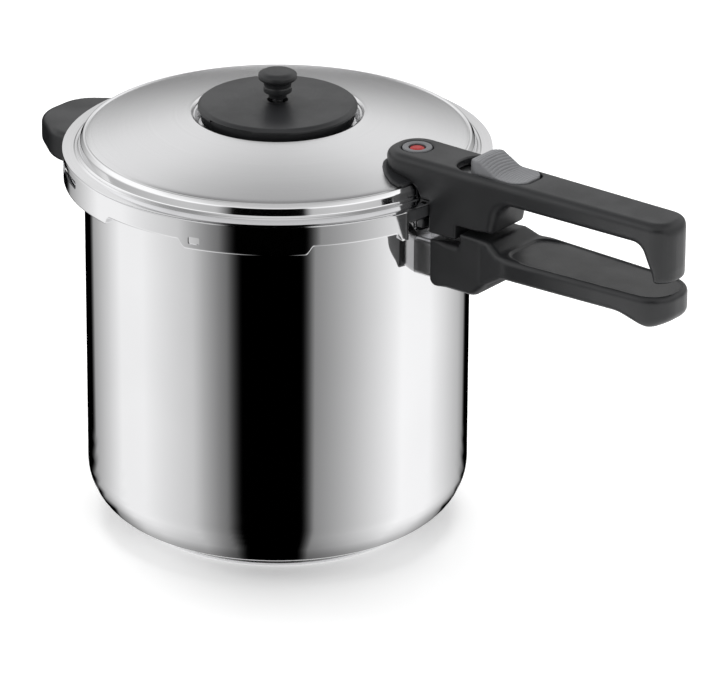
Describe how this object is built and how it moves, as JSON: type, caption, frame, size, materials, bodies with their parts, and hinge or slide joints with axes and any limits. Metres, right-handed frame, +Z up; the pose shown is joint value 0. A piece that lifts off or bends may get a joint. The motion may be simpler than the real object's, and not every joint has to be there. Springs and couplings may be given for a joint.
{
  "type": "stovetop pressure cooker",
  "caption": "Tall polished-steel stovetop pressure cooker with a bayonet lid, paired long handles, sliding lid lock, pressure indicator and central pull-up valve.",
  "frame": {"origin": "centre of the base's underside, on the pot's axis", "axes": "+Z up along the pot's axis, +X along the middle of the paired long handles, which point away from the pot"},
  "size_m": [0.4533, 0.2488, 0.2765],
  "materials": {
    "polished_steel": "mirror-polished stainless steel",
    "satin_steel": "fine satin stainless steel",
    "plain_steel": "plain pressed steel",
    "aluminium": "rolled",
    "black_plastic": "fine-grained moulded heat-resistant plastic",
    "grey_plastic": "moulded, ribbed",
    "bezel_grey": "satin moulded",
    "signal_red": "smooth moulded",
    "silicone": "matt silicone",
    "brass": "turned"
  },
  "bodies": {
    "pot": {"pot_body": "polished_steel", "base_core": "aluminium", "base_cap": "satin_steel", "pot_handle_bracket": "polished_steel", "pot_handle": "black_plastic", "pot_handle_screw": "plain_steel", "catch_plate": "plain_steel", "helper_handle": "black_plastic", "helper_handle_bracket": "plain_steel", "helper_handle_screw": "plain_steel"},
    "gasket": {"gasket": "silicone"},
    "lid": {"lid_shell": "satin_steel", "bayonet_ring": "polished_steel", "lid_handle_bracket": "plain_steel", "lid_handle": "black_plastic", "lid_handle_underplate": "black_plastic", "lid_handle_screw": "plain_steel", "indicator_bezel": "bezel_grey", "indicator_guide": "brass", "indicator_seal": "silicone", "indicator_nut": "brass", "valve_housing": "plain_steel", "valve_seal": "silicone", "valve_nut": "plain_steel", "valve_cap": "plain_steel", "valve_cover": "black_plastic", "valve_spring": "plain_steel", "pawl_spring": "plain_steel"},
    "valve_stem": {"valve_stem": "plain_steel", "valve_knob": "black_plastic", "poppet_seal": "silicone"},
    "indicator": {"indicator_pin": "plain_steel", "indicator_cap": "signal_red"},
    "slider": {"lock_slider": "grey_plastic", "slider_plate": "plain_steel"},
    "pawl": {"lock_pawl": "plain_steel"}
  },
  "joints": [
    {"name": "lid_lift", "type": "slide", "parent": "pot", "child": "gasket", "axis": [0, 0, 1], "range_m": [0, 0.12]},
    {"name": "lid_turn", "type": "hinge", "parent": "gasket", "child": "lid", "pos_m": [0, 0, 0.2205], "axis": [0, 0, 1], "range_deg": [0, 30]},
    {"name": "lock_slide", "type": "slide", "parent": "lid", "child": "slider", "axis": [-1, 0, 0], "range_m": [0, 0.008]},
    {"name": "pawl_drop", "type": "slide", "parent": "lid", "child": "pawl", "axis": [0, 0, -1], "range_m": [0, 0.0048], "deforming": ["pawl_spring"]},
    {"name": "indicator_rise", "type": "slide", "parent": "lid", "child": "indicator", "axis": [0, 0, 1], "range_m": [0, 0.005]},
    {"name": "valve_rise", "type": "slide", "parent": "lid", "child": "valve_stem", "axis": [0, 0, 1], "range_m": [0, 0.006], "stiffness_N_per_m": 1500, "springref_m": -0.006, "deforming": ["valve_spring"]}
  ],
  "couplings": [
    {"joint": "pawl_drop", "follows": "lock_slide", "ratio": 0.6}
  ]
}
